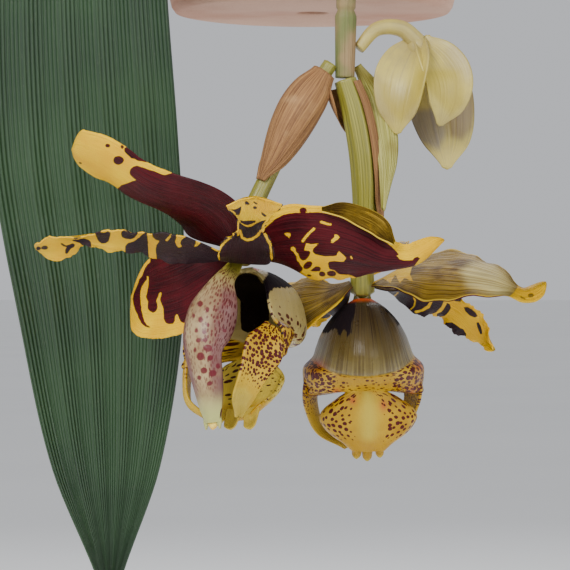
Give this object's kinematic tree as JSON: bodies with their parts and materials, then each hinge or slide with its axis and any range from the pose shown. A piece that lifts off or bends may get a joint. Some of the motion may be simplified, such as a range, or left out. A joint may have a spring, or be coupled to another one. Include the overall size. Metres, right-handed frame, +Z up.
{
  "type": "potted stanhopea tigrina, an orchid in a hanging clay pot",
  "caption": "Orchid in a hanging clay pot: ribbed pseudobulbs, pleated leaves and a flower spike that hangs below the pot with large spotted maroon and yellow flowers.",
  "frame": {"origin": "top of the inside of the hanger's hook, where it rests on a rail", "axes": "+Z up, the way the pot hangs; -Y towards the flowers and the viewer; +X to the viewer's right"},
  "size_m": [0.3472, 0.356, 0.7677],
  "materials": {
    "clay": "unglazed terracotta, matt, with pale lime bloom",
    "bark": "damp coarse orchid bark",
    "wire": "galvanised wire",
    "pseudobulb": "green ribbed skin with papery remains",
    "leaf": "satin dark green, pleated",
    "spike": "green stem under papery brown sheaths",
    "dry_bract": "dry, papery, finely veined",
    "green_bract": "papery, pale yellow green",
    "bud": "waxy cream yellow with mauve shading",
    "ovary": "smooth ribbed green",
    "sepal": "waxy dark maroon with yellow margins and spots",
    "petal": "waxy yellow with maroon blotches and bars",
    "lip": "waxy cream yellow, speckled maroon",
    "column": "waxy pale, spotted crimson"
  },
  "bodies": {
    "root": {"pot": "clay", "potting_mix": "bark", "hanger_hook": "wire", "hanger_wire_1": "wire", "hanger_wire_2": "wire", "hanger_wire_3": "wire", "pseudobulb_1": "pseudobulb", "pseudobulb_2": "pseudobulb", "pseudobulb_3": "pseudobulb", "pseudobulb_4": "pseudobulb", "pseudobulb_5": "pseudobulb", "leaf_1": "leaf", "leaf_2": "leaf", "leaf_3": "leaf", "leaf_4": "leaf", "leaf_5": "leaf", "flower_spike": "spike", "bract_brown_a": "dry_bract", "bract_brown_b": "dry_bract", "bract_green": "green_bract", "bud": "bud", "flower_a_ovary": "ovary", "flower_b_ovary": "ovary", "flower_a_dorsal_sepal": "sepal", "flower_a_lateral_sepal_left": "sepal", "flower_a_lateral_sepal_right": "sepal", "flower_a_petal_left": "petal", "flower_a_petal_front": "petal", "flower_a_lip": "lip", "flower_a_column": "column", "flower_b_dorsal_sepal": "sepal", "flower_b_lateral_sepal_right": "sepal", "flower_b_lateral_sepal_left": "sepal", "flower_b_petal_right": "petal", "flower_b_petal_left": "petal", "flower_b_lip": "lip", "flower_b_column": "column"}
  },
  "joints": []
}
